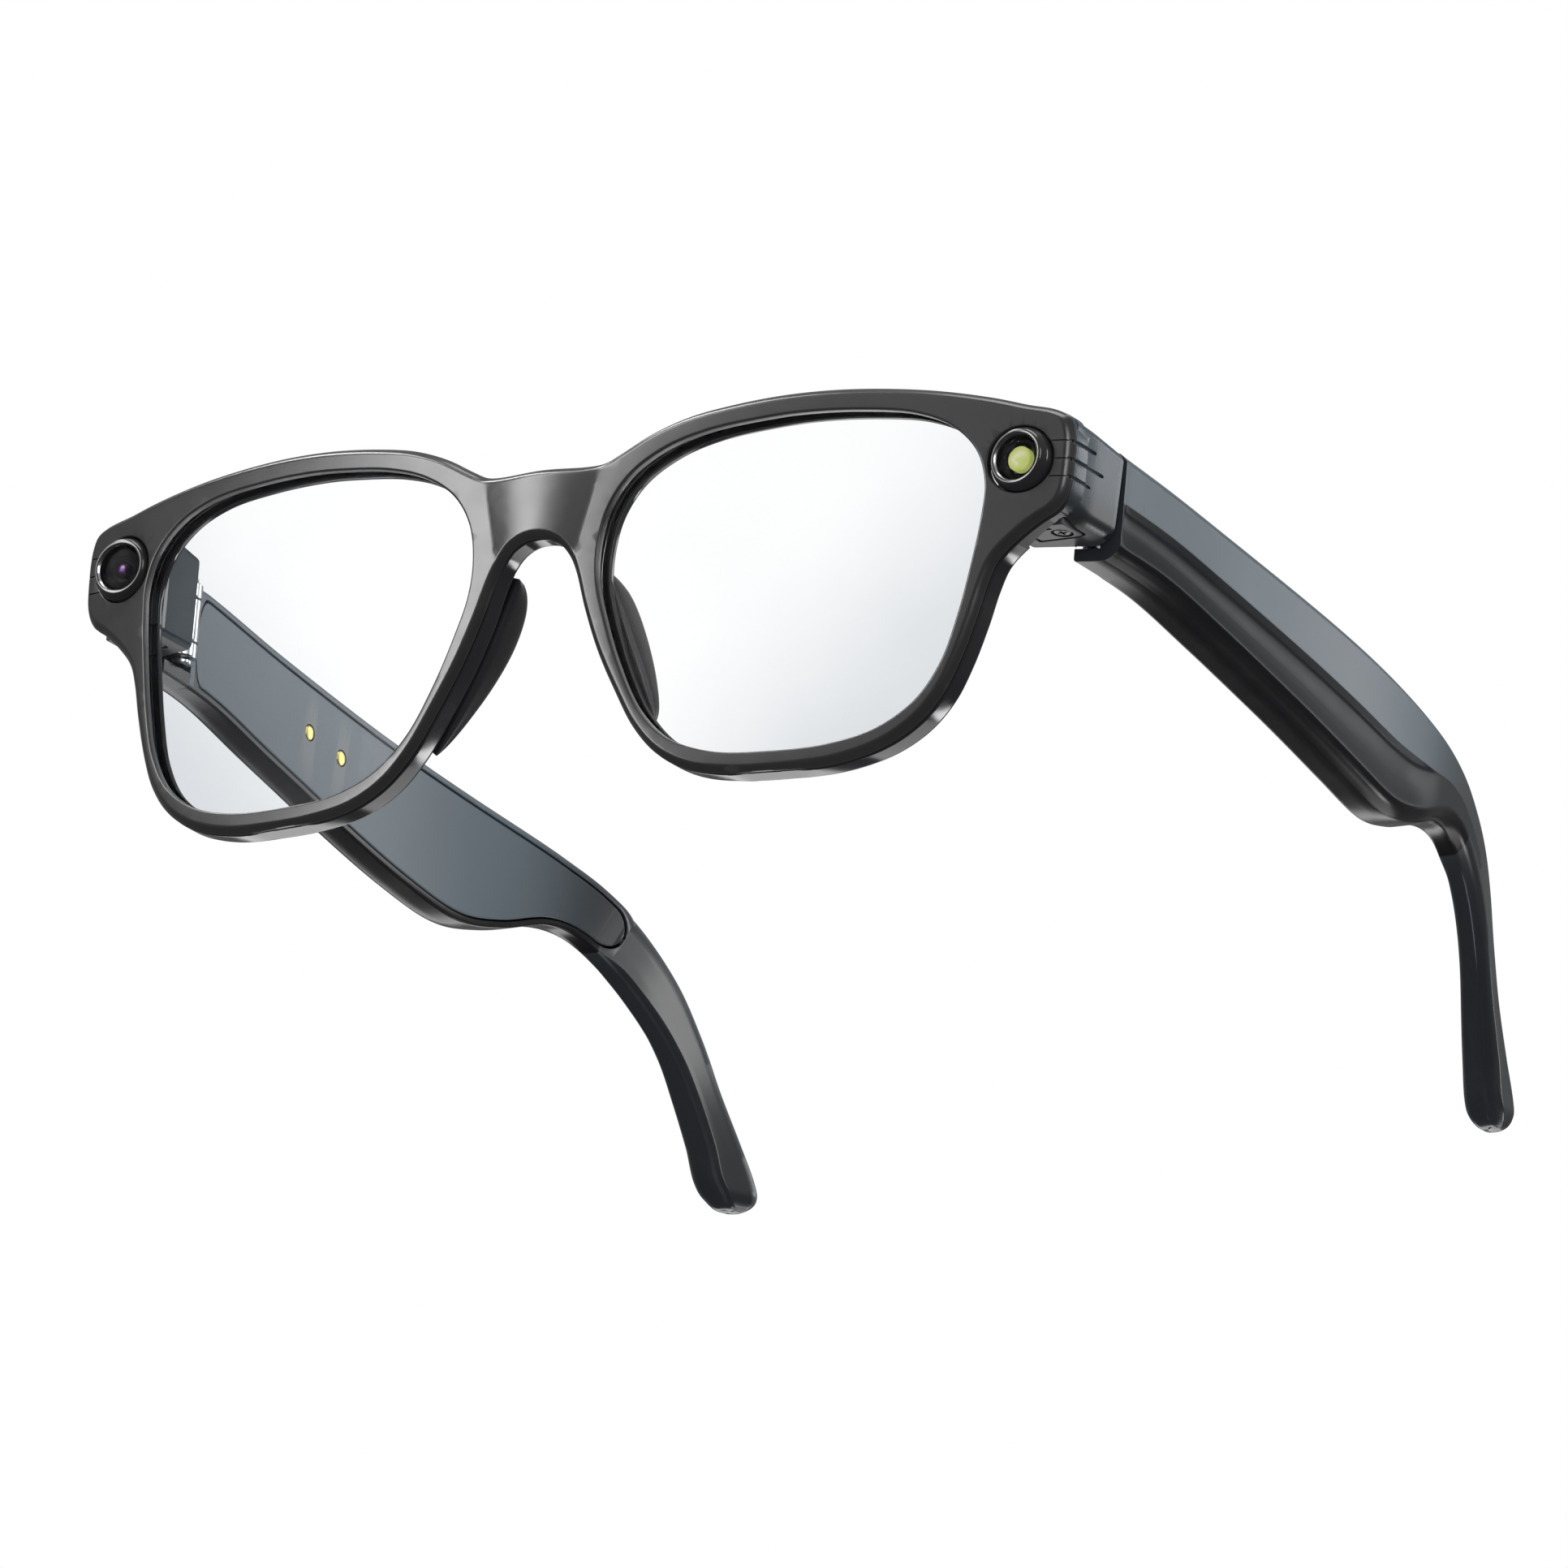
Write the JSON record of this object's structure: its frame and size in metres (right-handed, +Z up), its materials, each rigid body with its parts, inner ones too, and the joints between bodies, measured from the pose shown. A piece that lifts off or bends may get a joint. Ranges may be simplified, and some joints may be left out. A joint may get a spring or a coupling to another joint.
{
  "type": "smart glasses",
  "caption": "Camera smart glasses with clear lenses in a wrapped front, a camera and a light at its ends, and folding temples that hold the electronics.",
  "frame": {"origin": "middle of the box's underside, on the table that the rims and temple tips rest on", "axes": "+Z up, +X to the wearer's left, +Y from the front back to the temple tips"},
  "size_m": [0.146, 0.143, 0.0487],
  "materials": {
    "front_satin": "satin charcoal moulding",
    "frame_gloss": "polished black moulding",
    "lens_clear": "clear polished lens",
    "window_clear": "clear cover glass",
    "ring_black": "satin black with a bright edge",
    "mask_black": "matt black",
    "camera_lens": "dark coated lens",
    "emitter": "pale yellow-green phosphor",
    "circuit": "solder-masked board",
    "steel": "fine brushed",
    "temple_slate": "satin blue-grey, glossy black below",
    "cell": "foil pouch",
    "gold": "gold plated",
    "flex": "amber polyimide film"
  },
  "bodies": {
    "front": {"front_bezel": "front_satin", "main_frame": "frame_gloss", "lens_left": "lens_clear", "lens_right": "lens_clear", "nose_pad_left": "frame_gloss", "nose_pad_right": "frame_gloss", "bridge_flex_cable": "flex", "light_ring_left": "ring_black", "light_glass_left": "window_clear", "light_mask_left": "mask_black", "light_emitter_left": "emitter", "light_board_left": "circuit", "camera_ring_right": "ring_black", "camera_glass_right": "window_clear", "camera_barrel_right": "mask_black", "camera_lens_right": "camera_lens", "camera_sensor_right": "circuit", "housing_hatch_left": "front_satin", "housing_hatch_right": "front_satin", "hatch_screw_left": "steel", "hatch_screw_right": "steel", "front_hinge_left": "steel", "front_hinge_right": "steel", "hinge_pin_left": "steel", "hinge_pin_right": "steel"},
    "temple_left": {"temple_shell_left": "temple_slate", "inner_cover_left": "temple_slate", "temple_hinge_left": "steel", "main_board_left": "circuit", "battery_left": "cell", "speaker_left": "mask_black", "microphone_left": "gold"},
    "temple_right": {"temple_shell_right": "temple_slate", "inner_cover_right": "temple_slate", "temple_hinge_right": "steel", "main_board_right": "circuit", "battery_right": "cell", "speaker_right": "mask_black", "microphone_right": "gold", "button_switch_right": "steel", "charging_contact_1_right": "gold", "charging_contact_2_right": "gold"},
    "capture_button": {"capture_button_right": "ring_black"}
  },
  "joints": [
    {"name": "left_temple_fold", "type": "hinge", "parent": "front", "child": "temple_left", "pos_m": [0.0665, -0.04871, 0.03696], "axis": [0, -0.0455, 0.999], "range_deg": [0, 90]},
    {"name": "right_temple_fold", "type": "hinge", "parent": "front", "child": "temple_right", "pos_m": [-0.0665, -0.04871, 0.03696], "axis": [0, -0.0455, 0.999], "range_deg": [-80, 0]},
    {"name": "capture_button_press", "type": "slide", "parent": "temple_right", "child": "capture_button", "axis": [0, 0.0455, -0.999], "range_m": [0, 0.00035], "stiffness_N_per_m": 800}
  ]
}
